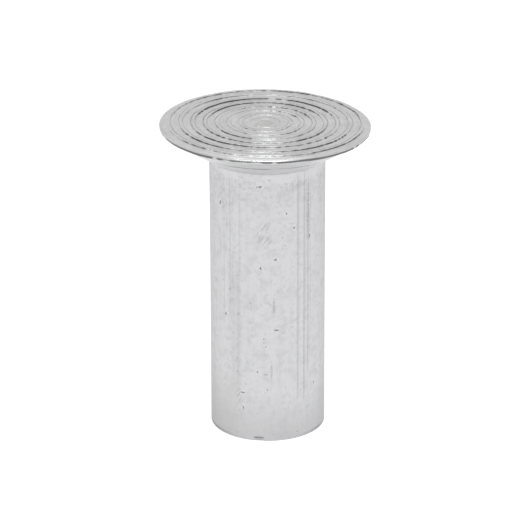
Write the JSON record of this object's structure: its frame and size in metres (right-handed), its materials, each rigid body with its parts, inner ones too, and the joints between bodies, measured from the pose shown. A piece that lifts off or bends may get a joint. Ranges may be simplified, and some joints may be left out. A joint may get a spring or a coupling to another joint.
{
  "type": "candle mold",
  "caption": "Pillar candle mold: a straight aluminium tube plugged by a wide round base with raised concentric rings and a cone under it, with a central wick pin.",
  "frame": {"origin": "centre of the tube's open end, which it stands on", "axes": "+Z along the tube from the open end to the base, and the base's face leans down by 0.75 degrees towards +X"},
  "size_m": [0.0928, 0.0928, 0.1423],
  "materials": {
    "tube_aluminium": "satin, drawn",
    "base_aluminium": "bright, cast and turned",
    "pin_steel": "ground"
  },
  "bodies": {
    "tube": {"mold_tube": "tube_aluminium"},
    "base": {"mold_base": "base_aluminium", "wick_pin": "pin_steel"}
  },
  "joints": [
    {"name": "base_pull", "type": "slide", "parent": "tube", "child": "base", "axis": [0, 0, 1], "range_m": [0, 0.13]}
  ]
}
